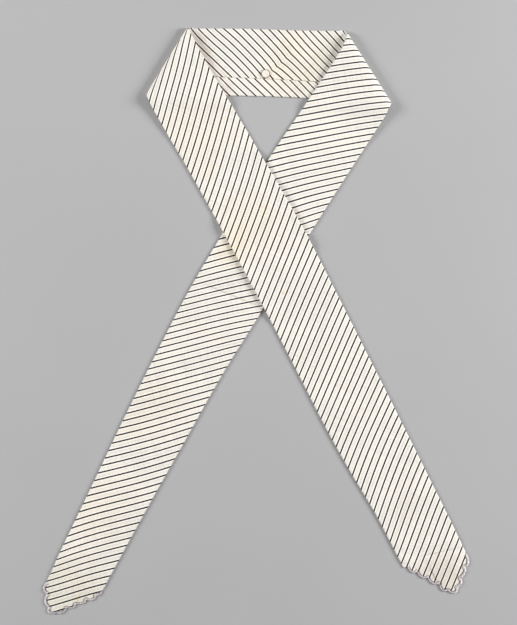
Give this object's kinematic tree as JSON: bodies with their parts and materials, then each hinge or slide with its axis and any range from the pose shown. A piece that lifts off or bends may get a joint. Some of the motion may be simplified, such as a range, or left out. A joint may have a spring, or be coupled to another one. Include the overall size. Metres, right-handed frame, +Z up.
{
  "type": "folded striped cravat",
  "caption": "Bias-cut striped cotton cravat laid flat, neckband turned over at both ends, tails crossed, with scalloped stitched points and a small neck button.",
  "frame": {"origin": "middle of the laid-out outline, on the table", "axes": "+X to the right across the neckband, +Y from the scalloped points towards the neckband, +Z up from the table towards the viewer"},
  "size_m": [0.4251, 0.5875, 0.007],
  "materials": {
    "striped_cotton": "matte cream cotton with fine dark brown pinstripes on the bias",
    "edging_thread": "close buttonhole stitching in pale lilac-grey thread",
    "button_linen": "small linen-covered ring button, cream"
  },
  "bodies": {
    "root": {"neckband": "striped_cotton", "over_tail": "striped_cotton", "under_tail": "striped_cotton", "over_tail_edging": "edging_thread", "over_tail_edging_back": "edging_thread", "under_tail_edging": "edging_thread", "under_tail_edging_back": "edging_thread", "neck_button": "button_linen"}
  },
  "joints": []
}
